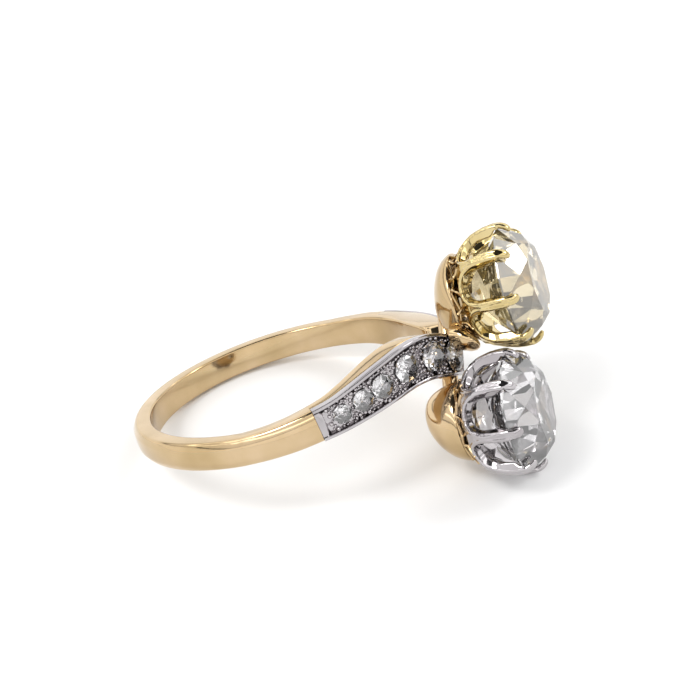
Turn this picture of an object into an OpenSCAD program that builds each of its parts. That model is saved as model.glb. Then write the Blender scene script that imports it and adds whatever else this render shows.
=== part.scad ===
// Toi et moi ring: two old-cut stones in claw cups on a bypass shank with stone-set shoulders.
// The ring lies on its side as it rests by itself, with the head towards +X and the white stone down.
// The origin is the middle of the finger hole. Sizes are in millimetres.

/* [Finger hole and hoop] */
// Inside diameter of the hoop
finger_d = 16.8; // [15:0.1:20]
// Width of the hoop along the finger
hoop_w = 1.74; // [1.4:0.02:2.4]
// Thickness of the hoop at its middle
hoop_t = 1.24; // [1:0.02:1.6]
// Fall of the low outer dome from the middle to the edges
hoop_dome = 0.2; // [0.1:0.01:0.3]
// Rounding of the hoop's four long edges
hoop_edge = 0.2; // [0.1:0.01:0.3]

/* [Head] */
// Height of the yellow stone's girdle above the finger hole's wall
girdle_over_hole = 6.6; // [6.3:0.1:8]
// How much lower the white stone sits
white_drop = 0.35; // [0:0.05:0.4]
// Gap between the two claw cups
crown_gap = 0.21; // [0.16:0.01:0.6]
// Turn of the line through both stones from the finger towards the hoop
line_angle = 40.3; // [38:0.1:44]
// Outward tilt of each stone
stone_tilt = 1.5; // [0:0.5:4]
// Lean of both stones along the finger, towards the yellow one
stone_lean = 3; // [0:0.5:4]

/* [Stones] */
// Diameter of the two main stones
stone_d = 6.9; // [6.3:0.05:7]
// Diameter of the table as a share of the stone
table_share = 0.63; // [0.5:0.01:0.68]
// Height of the crown above the girdle
crown_h = 1.5; // [1.2:0.05:1.7]
// Depth of the pavilion below the girdle
pavilion_h = 2.85; // [2.6:0.05:3]
// Diameter of the first small stone of each shoulder
accent_first_d = 1.1; // [0.8:0.02:1.14]
// Diameter of the last small stone of each shoulder
accent_last_d = 1.76; // [1.4:0.02:1.8]

/* [Claw cups] */
// Number of claws round each main stone
claws = 8; // [8]
// Width of one claw
claw_w = 0.52; // [0.4:0.02:0.7]
// Thickness of a claw beside the stone
claw_t = 0.31; // [0.26:0.01:0.33]
// Turn of the claws round the stone
claw_turn = -8; // [-12:1:12]
// Depth of the round-bottomed windows below the girdle
window_low = 2.4; // [2:0.05:2.6]
// Radius of a window at the inside of the cup
window_in_r = 0.88; // [0.7:0.02:1]
// Outer radius of a claw cup's foot
foot_r = 1.75; // [1.6:0.05:1.9]

/* [Gallery cups] */
// Outer radius of the rim of the white stone's gallery cup
white_cup_r = 2.32; // [2.25:0.01:2.5]
// Outer radius of the rim of the yellow stone's gallery cup
yellow_cup_r = 2.77; // [2.6:0.01:2.85]
// Depth of the white stone's gallery cup below its rim
white_cup_h = 2.1; // [1.8:0.05:2.3]
// Depth of the yellow stone's gallery cup below its rim
yellow_cup_h = 1.75; // [1.6:0.05:2]
// Sheet thickness of a gallery cup
cup_wall = 0.38; // [0.3:0.02:0.45]
// Slide of a gallery cup's bottom outwards along the hoop
cup_outward = 0.25; // [0:0.05:0.4]
// Slide of a gallery cup's bottom back towards the middle of the hoop
cup_back = 0.6; // [0.4:0.05:0.8]
// Radius of the opening in a gallery cup's bottom
cup_hole_r = 0.6; // [0.3:0.05:0.7]
// Radius of the struts on a gallery cup's rim
strut_r = 0.1; // [0.08:0.01:0.12]

/* [Shoulders] */
// Width of a shoulder at its widest
shoulder_w = 2.64; // [2.4:0.02:2.8]
// Thickness of a shoulder at the head
shoulder_t = 1.5; // [1.3:0.05:1.7]
// Swing of the near shoulder's middle line along the finger
shoulder_swing = 1.42; // [1.3:0.02:1.5]
// Thickness of the platinum on each shoulder
plate_t = 0.56; // [0.5:0.02:0.6]
// Thickness of the platinum at the edge where the gold rises beside it
plate_lip = 0.18; // [0.16:0.01:0.24]
// Width of the plain raised rims
rim_w = 0.3; // [0.2:0.02:0.34]
// Height of the rims above the stone-set floor
rim_h = 0.2; // [0.16:0.02:0.22]

/* [Rest] */
// Roll of the ring about the line from the finger hole to the head, away from the near shoulder
side_roll = 10.5; // [9:0.1:12]

/* [Hidden] */
$fn = 96;

gap = 0.03;
overcut = 0.15;
finger_r = finger_d / 2;
hoop_r = finger_r + hoop_t;
girdle_h = finger_r + girdle_over_hole;
stone_r = stone_d / 2;
table_r = stone_r * table_share;
seat_r = stone_r + gap + 0.01;
claw_out = stone_r + claw_t;
// Room under a main stone's culet, inside its claw cup
culet_room = 0.25;
foot_depth = pavilion_h + culet_room;
// Half the distance between the stones, and its parts along the hoop and along the finger
half_line = claw_out + crown_gap / 2;
stone_side = half_line * sin(line_angle);
stone_along = half_line * cos(line_angle);
// Radius on which the shoulders' angles are turned into lengths
flow_r = 1.25 * finger_r;
// Heights of a shoulder's outside and inside at the head, above the finger hole's wall
end_outer = girdle_over_hole - white_drop - foot_depth;
end_inner = end_outer - shoulder_t;

// Shoulder from the hoop to the middle of the head. Each row gives the middle line's angle round the
// finger, its swing as a share of shoulder_swing and its heading, the share of the way from hoop_w to
// shoulder_w, the shares of end_inner and of the way from hoop_t to end_outer, and the far shoulder's
// own swing and heading: it runs straight on where the near one swings out
PHI = 0;
SWING = 1;
HEADING = 2;
WIDEN = 3;
INNER = 4;
OUTER = 5;
FAR_SWING = 6;
FAR_HEADING = 7;
FLOW = [
    [-86, 0.01, 1, -0.04, 0, -0.01, 0, 0],
    [-76, 0.08, 3, 0.04, 0, 0.01, -0.03, 0],
    [-68, 0.16, 5, 0.13, 0, 0.04, -0.06, 0],
    [-60, 0.27, 7, 0.22, 0, 0.085, -0.06, 0],
    [-52, 0.39, 9, 0.36, 0, 0.15, -0.03, 1],
    [-45, 0.55, 11, 0.56, 0, 0.22, 0.01, 1],
    [-38, 0.72, 11, 0.76, 0.04, 0.305, 0.03, 0],
    [-31, 0.88, 8, 0.89, 0.11, 0.41, 0.03, 0],
    [-24, 1, 0, 0.98, 0.24, 0.525, 0.02, -1],
    [-18, 0.985, -11, 1, 0.4, 0.645, 0.01, -8],
    [-13, 0.845, -23, 0.97, 0.57, 0.765, 0.02, -24],
    [-8.5, 0.59, -32, 0.88, 0.76, 0.88, 0.04, -42],
    [-4.3, 0.32, -38, 0.78, 0.92, 0.965, 0.05, -44],
    [-0.5, 0.045, -43, 0.66, 1, 1, 0.05, -44],
    [3.3, -0.255, -48, 0.36, 1, 1, 0.05, -44],
];
FLOW_STEPS = 5;
FLOW_END = len(FLOW) - 1;
// Places along the table where the gold steps down, where the platinum starts and where both end: the
// near shoulder passes the middle of the head, the far one ends short of it
STEP_PLACE = 3.1;
PLATE_FROM = 3.125;
NEAR_TO = 13.95;
FAR_TO = 11;
// Place along the table from which the gallery makes room for the platinum, and how far it goes on past it
ROOM_FROM = 6.5;
ROOM_ON = 0.25;
// Places along the table of the small stones of each shoulder
NEAR_ACCENTS = [4.25, 5.4, 6.5, 7.95, 10, 12.2];
FAR_ACCENTS = [4.2, 5.35, 6.5, 7.75, 9.25];
// Fall of the platinum's rims below the top of the gold dome, their edges' bevel, and the gap under the platinum
plate_fall = 0.12;
plate_edge = 0.07;
seat_gap = 0.06;
// The lowered gold starts this far back in the full one, smaller by this much all round
START_BACK = 0.4;
START_SUNK = 0.12;

// Small stone: its girdle above the floor of the tray, its girdle's thickness, and its table's radius,
// crown's height and pavilion's depth as shares of its radius
accent_rise = 0.1;
accent_girdle = 0.05;
accent_table = 0.58;
accent_crown = 0.32;
accent_depth = 0.45;
accent_culet = 0.1;
bead_r = 0.19;

// Gallery cup from its rim to its bottom: shares of its depth, of its rim's radius and of its bottom's slides
DEPTH = 0;
RADIUS = 1;
SLIDE = 2;
CUP = [
    [0, 1, 0],
    [0.12, 1, 0.02],
    [0.3, 0.96, 0.1],
    [0.5, 0.88, 0.25],
    [0.7, 0.75, 0.5],
    [0.85, 0.6, 0.75],
    [0.95, 0.45, 0.9],
    [1, 0.32, 1],
];
CUP_SIDES = 32;
// Zigzag of struts on a cup's rim: height of its low corners, and radius and height of its high ones
strut_low_h = -foot_depth - 0.3 * strut_r;
strut_high_r = 1.4 * foot_r;
strut_high_h = -foot_depth + 2.1 * strut_r;
// Bar between the two cups: its radius and its height above the finger hole's wall
bridge_r = 0.5;
bridge_h = 0.73 * end_outer;

// Claw cup's outside and inside from the foot up: share of foot_depth, and share of the way from the
// foot's radius to the claws' outside or to the bearing under the girdle
CLAW_CUP_OUT = [[1, 0], [0.93, 0.17], [0.84, 0.46], [0.7, 0.7], [0.5, 0.88], [0.3, 0.97], [0.14, 1]];
CLAW_CUP_IN = [[0.225, 0.99], [0.4, 0.9], [0.55, 0.75], [0.68, 0.54], [0.81, 0.08]];
foot_wall = 0.35;
bearing_w = 0.3;
bearing_drop = 0.28;
collar_h = 0.1;
girdle_half = 0.05;
culet_r = 0.3;
// Claw tip: outside from the girdle up, as shares of tip_h and of the reach inwards over the stone
TIP_OUT = [[0.27, 0.026], [0.6, 0.154], [0.92, 0.41], [1.22, 0.77], [1.32, 1]];
tip_h = 0.44 * crown_h;
tip_reach = 0.62;
tip_length = 0.72;
crown_slope = (stone_r - table_r) / (crown_h - girdle_half);
bearing_r = seat_r - bearing_w;
// Window between two claws: its radius outside and its middle's depth
window_r = claw_out * sin(180 / claws) - claw_w / 2;
window_depth = window_low - window_r;

// Rise of the head from the hoop's edge on the floor to the lower claw cup on the floor, from the place
// round the hoop where its edge touches the floor
REST_ANGLE = 137.5;
edge_r = hoop_r - hoop_dome - hoop_edge;
head_rise = atan(((stone_along + 0.99 * claw_out - hoop_w / 2) * cos(side_roll)
                  - (0.97 * stone_side + edge_r * sin(REST_ANGLE)) * sin(side_roll))
                 / (girdle_h - white_drop - 0.215 * claw_out - edge_r * cos(REST_ANGLE)));

function flow_to(far) = far ? FAR_TO : NEAR_TO;
function accents(far) = far ? FAR_ACCENTS : NEAR_ACCENTS;
function row(i) = FLOW[max(0, min(FLOW_END, i))];

// Smooth curve through four values, for any share t between the middle two
function spline(a, b, c, d, t) =
    0.5 * ((2 * b) + (c - a) * t + (2 * a - 5 * b + 4 * c - d) * t * t + (3 * b - a - 3 * c + d) * t * t * t);

// Row of the shoulder's table at any place between two rows
function flow(u) =
    let (i = min(FLOW_END - 1, floor(u)))
    spline(row(i - 1), row(i), row(i + 1), row(i + 2), u - i);

function half_w(u) = (hoop_w + flow(u)[WIDEN] * (shoulder_w - hoop_w)) / 2;

// Heights above the finger hole's wall of the inside, the gold dome's top and the platinum's rims
function inside_h(u) = flow(u)[INNER] * (end_inner + overcut) - overcut;
function dome_h(u) = hoop_t + flow(u)[OUTER] * (end_outer - hoop_t);
function plate_h(u) = dome_h(u) - plate_fall;

// Point of a shoulder: place u, b across it from its middle line, h above the finger hole's wall. The far
// one's sections are cut on a slant, so they are wider by as much as keeps its width
function flow_point(u, b, h, far) =
    let (f = flow(u),
         heading = far ? f[FAR_HEADING] : f[HEADING],
         across = far ? b / cos(heading) : b,
         angle = f[PHI] - across * sin(heading) / flow_r * 180 / PI,
         along = (far ? f[FAR_SWING] : f[SWING]) * shoulder_swing + across * cos(heading))
    [(finger_r + h) * cos(angle), (finger_r + h) * sin(angle), along];

// Places along the shoulder where it is given a section
function flow_places(from, to) =
    let (n = ceil((to - from) * FLOW_STEPS))
    [for (k = [0:n]) from + (to - from) * k / n];

// Closed solid through a list of rings that have the same number of points each
module rings(list) {
    m = len(list[0]);
    n = len(list);
    walls = [for (k = [0:n - 2], j = [0:m - 1])
             [k * m + j, (k + 1) * m + j, (k + 1) * m + (j + 1) % m, k * m + (j + 1) % m]];
    first = [for (j = [0:m - 1]) j];
    last = [for (j = [m - 1:-1:0]) (n - 1) * m + j];
    triangles = [for (q = walls) each [[q[0], q[1], q[2]], [q[0], q[2], q[3]]]];
    polyhedron([for (ring = list) each ring], concat([first], triangles, [last]), convexity = 6);
}

// Arc of an outline round a point
function arc(x, y, r, from, to) =
    [for (k = [0:2]) let (a = from + (to - from) * k / 2) [x + r * cos(a), y + r * sin(a)]];

// Section of the gold, flat inside and low-domed outside, for half its width and its two heights
function gold_outline(half, low, high) =
    let (e = hoop_edge, top = high - hoop_dome)
    concat(
        arc(half - e, low + e, e, -90, 0),
        arc(half - e, top - e, e, 0, 75),
        [[half * 0.5, high - hoop_dome * 0.25], [0, high], [-half * 0.5, high - hoop_dome * 0.25]],
        arc(-half + e, top - e, e, 105, 180),
        arc(-half + e, low + e, e, 180, 270));

// Section of the gold under the platinum: a seat, and a lip that rises beside the platinum at one edge
function arm_outline(half, low, seat, lip) =
    let (e = hoop_edge)
    concat(
        arc(half - e, low + e, e, -90, 0),
        arc(half - e / 2, seat - e / 2, e / 2, 0, 90),
        [[-half + rim_w, seat], [-half, lip]],
        arc(-half + e, low + e, e, 180, 270));

// Section of the platinum: a tray with two plain rims and a floor for the stones between them
function plate_outline(half, high, deep) =
    let (e = plate_edge, inner = half - rim_w, floor_h = high - deep)
    [[half, high - plate_t], [half, high - e], [half - e, high], [inner + e, high], [inner, high - e / 2],
     [inner - e / 2, floor_h], [-inner + e / 2, floor_h],
     [-inner, high - e / 2], [-inner - e, high], [-half + e, high], [-half, high - e], [-half, high - plate_lip],
     [-inner, high - plate_t]];

module hoop() {
    outline = gold_outline(hoop_w / 2, finger_r - overcut, hoop_r);
    rotate([0, 0, 84])
        rotate_extrude(angle = 192)
            polygon([for (p = outline) [p[1], p[0]]]);
}

// Sections of the platinum: the place, and how far the floor is sunk there as a share of rim_h
PLACE = 0;
SUNK = 1;
function plate_places(far) =
    let (end = flow_to(far))
    concat([[PLATE_FROM, 0.01], [PLATE_FROM + 0.26, 0.01], [PLATE_FROM + 0.38, 1]],
           [for (u = flow_places(PLATE_FROM + 0.5, end - 0.45)) [u, 1]],
           [[end - 0.3, 1], [end - 0.18, 0.01], [end, 0.01]]);

// Gold of one shoulder: full height as far as the platinum, and lowered under it
module gold_shoulder(far) {
    rings([for (u = flow_places(0, STEP_PLACE))
           [for (p = gold_outline(half_w(u), inside_h(u), dome_h(u))) flow_point(u, p[0], p[1], far)]]);
    places = [for (place = plate_places(far)) place[PLACE]];
    rings([for (u = concat([STEP_PLACE - START_BACK], places))
           let (sunk = u < STEP_PLACE ? START_SUNK : 0,
                seat = plate_h(u) - plate_t - seat_gap - sunk, lip = plate_h(u) - plate_lip - seat_gap - sunk)
           [for (p = arm_outline(half_w(u) - sunk, inside_h(u) + sunk, seat, lip))
            flow_point(u, p[0], p[1], far)]]);
}

// Platinum of one shoulder: the floor is sunk along it and rises to the rims' height at both ends
module plate_body(far) {
    rings([for (place = plate_places(far))
           let (u = place[PLACE])
           [for (p = plate_outline(half_w(u), plate_h(u), rim_h * place[SUNK])) flow_point(u, p[0], p[1], far)]]);
}

// Room for the platinum and its stones in the gallery beside it
module plate_room(far) {
    places = [for (place = plate_places(far)) if (place[PLACE] > ROOM_FROM) place[PLACE]];
    rings([for (u = concat(places, [flow_to(far) + ROOM_ON]))
           let (half = half_w(u) + gap, high = plate_h(u) + 2 * rim_h, low = plate_h(u) - plate_t - seat_gap)
           [for (p = [[half, low], [half, high], [-half, high], [-half, low]]) flow_point(u, p[0], p[1], far)]]);
}

// Frame of a small stone: its middle on the floor of the tray, square to the floor
module at_accent(k, far) {
    u = accents(far)[k];
    function on_floor(v, b) = flow_point(v, b, plate_h(v) - rim_h, far);
    along = on_floor(u + 0.1, 0) - on_floor(u - 0.1, 0);
    up = cross(along, on_floor(u, 0.3) - on_floor(u, -0.3));
    x = along / norm(along);
    z = up / norm(up);
    y = cross(z, x);
    p = on_floor(u, 0);
    multmatrix([[x[0], y[0], z[0], p[0]], [x[1], y[1], z[1], p[1]], [x[2], y[2], z[2], p[2]], [0, 0, 0, 1]])
        children();
}

function accent_d(k) = accent_first_d + (accent_last_d - accent_first_d) * k / (len(NEAR_ACCENTS) - 1);

// Small stone with eight crown and eight pavilion facets
module accent_cut(d) {
    r = d / 2;
    levels = [[accent_culet * r, accent_rise - accent_depth * r], [r, accent_rise], [r, accent_rise + accent_girdle],
              [accent_table * r, accent_rise + accent_girdle + accent_crown * r]];
    rings([for (l = levels) [for (j = [0:7]) [l[0] * cos(45 * j), l[0] * sin(45 * j), l[1]]]]);
}

// Room for a small stone in the platinum: a cone under its pavilion and a clear bore above
module accent_seat(d) {
    r = d / 2 + gap;
    tip = accent_culet * d / 2 + gap;
    rotate_extrude()
        polygon([[0, accent_rise - accent_depth * d / 2 - gap], [tip, accent_rise - accent_depth * d / 2 - gap],
                 [r, accent_rise - gap / 2], [r, d], [0, d]]);
}

// Beads round a small stone; one at a slanted end has none on its side towards the end
module accent_beads(d, at_end) {
    for (a = at_end ? [135, 225] : [45, 135, 225, 315])
        rotate([0, 0, a])
            translate([d / 2 + gap + 0.7 * bead_r, 0, 0])
                sphere(r = bead_r, $fn = 20);
}

module shoulder_plate(far) {
    last = len(accents(far)) - 1;
    difference() {
        union() {
            plate_body(far);
            for (k = [0:last])
                at_accent(k, far) accent_beads(accent_d(k), far && k == last);
        }
        for (k = [0:last])
            at_accent(k, far) accent_seat(accent_d(k));
    }
}

// Frame of a main stone: its axis along Z, its girdle at 0
module at_stone(side) {
    translate([girdle_h - (side < 0 ? white_drop : 0), side * stone_side, side * stone_along])
        rotate([0, -stone_lean, 0])
            rotate([-line_angle, 0, 0])
                rotate([0, -side * stone_tilt, 0])
                    rotate([0, 90, 0])
                        children();
}

// Frame of a main stone turned with its claws
module at_claws(side) {
    at_stone(side) rotate([0, 0, claw_turn]) children();
}

function cup_r(side) = side < 0 ? white_cup_r : yellow_cup_r;
function cup_h(side) = side < 0 ? white_cup_h : yellow_cup_h;

// Ring of a gallery cup at a depth below the girdle, its middle slid by a share of the bottom's slides
function cup_ring(side, depth, r, slide) =
    let (outward = slide * cup_outward, back = slide * cup_back,
         x = -side * (outward * sin(line_angle) - back * cos(line_angle)),
         y = side * (outward * cos(line_angle) + back * sin(line_angle)))
    [for (j = [0:CUP_SIDES - 1]) let (a = 360 * j / CUP_SIDES) [x + r * cos(a), y - r * sin(a), -depth]];

// Rings of a gallery cup's outside or, moved in by its wall, of its inside
function cup_rings(side, last, inwards, rise) =
    [for (k = [0:last]) let (c = CUP[k])
     cup_ring(side, foot_depth + c[DEPTH] * cup_h(side) - rise, c[RADIUS] * cup_r(side) - inwards, c[SLIDE])];

module cup_outside(side) {
    rings(cup_rings(side, len(CUP) - 1, 0, 0));
}

module cup_inside(side) {
    bottom = foot_depth + cup_h(side);
    opening = [for (d = [bottom - cup_wall / 4, bottom + cup_wall / 2]) cup_ring(side, d, cup_hole_r, 1)];
    rings(concat(cup_rings(side, len(CUP) - 2, cup_wall, cup_wall / 4), opening));
}

// Zigzag of struts that stands on a cup's rim, one peak to each claw
module struts(side) {
    n = 2 * claws;
    sides = 6;
    points = [for (k = [0:n - 1], j = [0:sides - 1])
              let (high = k % 2 == 0, a = claw_turn + 360 * k / n, t = 360 * j / sides,
                   r = (high ? strut_high_r : cup_r(side) - cup_wall / 2) + strut_r * cos(t))
              [r * cos(a), r * sin(a), (high ? strut_high_h : strut_low_h) + strut_r * sin(t)]];
    faces = [for (k = [0:n - 1], j = [0:sides - 1])
             let (m = (k + 1) % n, i = (j + 1) % sides)
             each [[k * sides + j, k * sides + i, m * sides + j],
                   [m * sides + j, k * sides + i, m * sides + i]]];
    polyhedron(points, faces, convexity = 4);
}

// Bar under the ends of the shoulders that joins the two cups
module bridge() {
    reach = half_line - white_cup_r / 2;
    translate([finger_r + bridge_h, 0, 0])
        rotate([-line_angle, 0, 0])
            cylinder(h = 2 * reach, r = bridge_r, center = true);
}

// Turn from the hoop's own frame, with the finger along Z, to the way the ring rests
module resting() {
    rotate([0, -head_rise, 0])
        rotate([-side_roll, 0, 0])
            children();
}

// The far shoulder starts from the hoop as the near one does, half a turn round the line to the head
module at_shoulder(far) {
    rotate([far ? 180 : 0, 0, 0]) children();
}

// Gold hoop with both shoulders and the open gallery under the head, soldered into one piece
module shank() {
    color([0.87, 0.67, 0.47]) resting()
        difference() {
            union() {
                hoop();
                for (far = [false, true])
                    at_shoulder(far) gold_shoulder(far);
                difference() {
                    union() {
                        for (side = [-1, 1])
                            at_stone(side) cup_outside(side);
                        bridge();
                    }
                    for (side = [-1, 1])
                        at_stone(side) cup_inside(side);
                    for (far = [false, true])
                        at_shoulder(far) plate_room(far);
                }
                for (side = [-1, 1])
                    at_stone(side) struts(side);
            }
            cylinder(h = 4 * shoulder_w, r = finger_r, center = true, $fn = 192);
        }
}

module near_shoulder_plate() {
    color([0.82, 0.81, 0.83]) resting() at_shoulder(false) shoulder_plate(false);
}

module far_shoulder_plate() {
    color([0.82, 0.81, 0.83]) resting() at_shoulder(true) shoulder_plate(true);
}

module claw_cup_wall() {
    function out(t) = [foot_r + t[1] * (claw_out - foot_r), -t[0] * foot_depth];
    function in(t) = [foot_r - foot_wall + t[1] * (bearing_r - foot_r + foot_wall), -t[0] * foot_depth];
    rotate_extrude()
        polygon(concat(
            [[foot_r - foot_wall, -foot_depth]], [for (t = CLAW_CUP_OUT) out(t)],
            [[claw_out, -0.05 * foot_depth], [claw_out, collar_h], [seat_r, collar_h], [seat_r, -collar_h],
             [bearing_r, -collar_h - bearing_drop]],
            [for (t = CLAW_CUP_IN) in(t)]));
}

module claw_tips_turned() {
    rotate_extrude()
        polygon(concat(
            [[seat_r, -0.8 * collar_h], [claw_out - 0.001, -0.8 * collar_h]],
            [for (t = TIP_OUT) [claw_out - t[1] * tip_reach, t[0] * tip_h]],
            [[seat_r - 1.08 * tip_h * crown_slope, 1.24 * tip_h], [seat_r - tip_h * crown_slope, 1.07 * tip_h],
             [seat_r, girdle_half]]));
}

module claw_shape() {
    translate([claw_out - tip_length + claw_w / 2, 0]) circle(d = claw_w, $fn = 32);
    translate([claw_out - tip_length + claw_w / 2, -claw_w / 2]) square([claw_out, claw_w]);
}

// Radius of a claw cup's wall at a height, from its inside at 0 to its outside at 1
function wall_r(z, through) =
    let (inside = foot_r - foot_wall + lookup(-z / foot_depth, CLAW_CUP_IN) * (bearing_r - foot_r + foot_wall),
         outside = foot_r + lookup(-z / foot_depth, CLAW_CUP_OUT) * (claw_out - foot_r))
    inside + through * (outside - inside);

// Outline of a window, round below and straight above: each point's place across and its height
function window_outline(r) =
    let (n = 16)
    concat([[-r, tip_h]], [for (k = [0:n]) let (a = 180 + 180 * k / n) [r * cos(a), r * sin(a) - window_depth]],
           [[r, tip_h]]);

// Room of one window: narrow as far as the inside of the cup's wall, and spreading through the wall
module window() {
    rings([[for (p = window_outline(window_in_r)) [foot_r / 2, p[0], p[1]]],
           [for (p = window_outline(window_in_r)) [wall_r(p[1], 0.15), p[0], p[1]]],
           [for (p = window_outline(window_r)) [wall_r(p[1], 0.85), p[0], p[1]]],
           [for (p = window_outline(window_r)) [claw_out + window_r, p[0], p[1]]]]);
}

// Claw cup: a turned cup cut by round-bottomed windows, with hooks that bend over the stone
module claw_cup() {
    step = 360 / claws;
    difference() {
        claw_cup_wall();
        for (k = [0:claws - 1]) rotate([0, 0, (k + 0.5) * step]) window();
    }
    intersection() {
        claw_tips_turned();
        translate([0, 0, -tip_h])
            linear_extrude(height = 3 * tip_h)
                for (k = [0:claws - 1]) rotate([0, 0, k * step]) claw_shape();
    }
}

// Old-cut brilliant: high crown with table, stars, kites and upper girdle facets, and a pavilion with
// a small open culet
module brilliant() {
    star_r = 0.491 * (table_r + stone_r);
    lower_r = 0.55 * stone_r;
    rise = (crown_h - girdle_half) / (stone_r - table_r);
    fall = (pavilion_h - girdle_half) / (stone_r - culet_r);
    star_h = crown_h - rise * (star_r * cos(22.5) - table_r);
    lower_h = -girdle_half - fall * (stone_r - lower_r * cos(22.5));
    function around(r, h, n, turn) = [for (j = [0:n - 1]) let (a = turn + 360 * j / n) [r * cos(a), r * sin(a), h]];
    points = concat(
        around(table_r, crown_h, 8, 0), around(star_r, star_h, 8, 22.5),
        around(stone_r, girdle_half, 16, 0), around(stone_r, -girdle_half, 16, 0),
        around(lower_r, lower_h, 8, 22.5), around(culet_r / cos(22.5), -pavilion_h, 8, 22.5));
    T = 0;
    S = 8;
    G = 16;
    H = 32;
    L = 48;
    C = 56;
    facets = [for (j = [0:7]) let (n = (j + 1) % 8, m = (j + 7) % 8, g = 2 * j, q = (g + 1) % 16, r = (g + 2) % 16)
        each [
            [T + j, T + n, S + j],
            [T + j, S + j, G + g, S + m],
            [S + j, G + q, G + g], [S + j, G + r, G + q],
            [G + g, H + q, H + g], [G + g, G + q, H + q], [G + q, H + r, H + q], [G + q, G + r, H + r],
            [H + g, H + q, L + j], [H + q, H + r, L + j],
            [H + g, L + j, C + j, C + m, L + m],
        ]];
    polyhedron(points, concat([[for (j = [7:-1:0]) T + j], [for (j = [0:7]) C + j]], facets), convexity = 4);
}

module white_setting() {
    color([0.82, 0.81, 0.83]) resting() at_claws(-1) claw_cup();
}

module yellow_setting() {
    color([0.86, 0.76, 0.45]) resting() at_claws(1) claw_cup();
}

module white_stone() {
    color([0.93, 0.94, 0.96]) resting() at_claws(-1) brilliant();
}

module yellow_stone() {
    color([0.93, 0.9, 0.74]) resting() at_claws(1) brilliant();
}

// Small stone k of a shoulder, counted from the hoop to the head
module accent(k, far) {
    color([0.93, 0.94, 0.96]) resting() at_shoulder(far) at_accent(k, far) accent_cut(accent_d(k));
}

module near_accent_1() {
    accent(0, false);
}

module near_accent_2() {
    accent(1, false);
}

module near_accent_3() {
    accent(2, false);
}

module near_accent_4() {
    accent(3, false);
}

module near_accent_5() {
    accent(4, false);
}

module near_accent_6() {
    accent(5, false);
}

module far_accent_1() {
    accent(0, true);
}

module far_accent_2() {
    accent(1, true);
}

module far_accent_3() {
    accent(2, true);
}

module far_accent_4() {
    accent(3, true);
}

module far_accent_5() {
    accent(4, true);
}

shank();
near_shoulder_plate();
far_shoulder_plate();
white_setting();
yellow_setting();
white_stone();
yellow_stone();
near_accent_1();
near_accent_2();
near_accent_3();
near_accent_4();
near_accent_5();
near_accent_6();
far_accent_1();
far_accent_2();
far_accent_3();
far_accent_4();
far_accent_5();
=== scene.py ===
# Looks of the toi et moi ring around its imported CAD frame. Its lengths are millimetres in the hoop's own
# frame, with the finger hole along Z and the head at X, until make_object turns them to the resting pose.
import math

import bmesh
import bpy
import numpy as np
from mathutils import Matrix, Vector


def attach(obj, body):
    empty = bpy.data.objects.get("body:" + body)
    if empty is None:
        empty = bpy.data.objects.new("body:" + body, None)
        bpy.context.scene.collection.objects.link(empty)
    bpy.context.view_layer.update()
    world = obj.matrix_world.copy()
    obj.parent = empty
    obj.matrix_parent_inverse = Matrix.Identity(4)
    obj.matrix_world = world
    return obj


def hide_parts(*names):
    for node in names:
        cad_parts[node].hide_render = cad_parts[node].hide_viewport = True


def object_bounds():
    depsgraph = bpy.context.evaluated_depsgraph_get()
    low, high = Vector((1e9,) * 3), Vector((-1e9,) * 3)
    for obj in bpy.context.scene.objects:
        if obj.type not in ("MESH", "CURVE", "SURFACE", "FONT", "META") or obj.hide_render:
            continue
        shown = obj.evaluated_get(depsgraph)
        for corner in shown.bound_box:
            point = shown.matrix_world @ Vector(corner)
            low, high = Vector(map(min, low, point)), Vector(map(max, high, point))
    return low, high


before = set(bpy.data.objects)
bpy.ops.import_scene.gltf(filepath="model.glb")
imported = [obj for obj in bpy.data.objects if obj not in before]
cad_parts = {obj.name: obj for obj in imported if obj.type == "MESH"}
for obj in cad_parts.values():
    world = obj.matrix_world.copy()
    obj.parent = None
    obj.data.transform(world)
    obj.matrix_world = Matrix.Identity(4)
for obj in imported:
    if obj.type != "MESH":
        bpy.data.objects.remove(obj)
cad_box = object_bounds()

# Sizes of the ring, as in the part's source
FINGER_D = 16.8
HOOP_W = 1.74
HOOP_T = 1.24
HOOP_DOME = 0.2
HOOP_EDGE = 0.2
GIRDLE_OVER_HOLE = 6.6
WHITE_DROP = 0.35
CROWN_GAP = 0.21
LINE_ANGLE = math.radians(40.3)
STONE_TILT = math.radians(1.5)
STONE_LEAN = math.radians(3)
STONE_D = 6.9
CROWN_H = 1.5
PAVILION_H = 2.85
ACCENT_FIRST_D = 1.1
ACCENT_LAST_D = 1.76
CLAWS = 8
CLAW_W = 0.52
CLAW_T = 0.31
CLAW_TURN = math.radians(-8)
WINDOW_LOW = 2.4
WINDOW_IN_R = 0.88
FOOT_R = 1.75
FOOT_WALL = 0.35
BEARING_W = 0.3
BEARING_DROP = 0.28
WHITE_CUP_R = 2.32
YELLOW_CUP_R = 2.77
WHITE_CUP_H = 2.1
YELLOW_CUP_H = 1.75
CUP_WALL = 0.38
CUP_OUTWARD = 0.25
CUP_BACK = 0.6
CUP_HOLE_R = 0.6
STRUT_R = 0.1
SHOULDER_W = 2.64
SHOULDER_T = 1.5
SHOULDER_SWING = 1.42
PLATE_T = 0.56
PLATE_LIP = 0.18
PLATE_FALL = 0.12
RIM_W = 0.3
RIM_H = 0.2
SIDE_ROLL = math.radians(10.5)
GAP = 0.03
SEAT_GAP = 0.06
OVERCUT = 0.15

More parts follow.
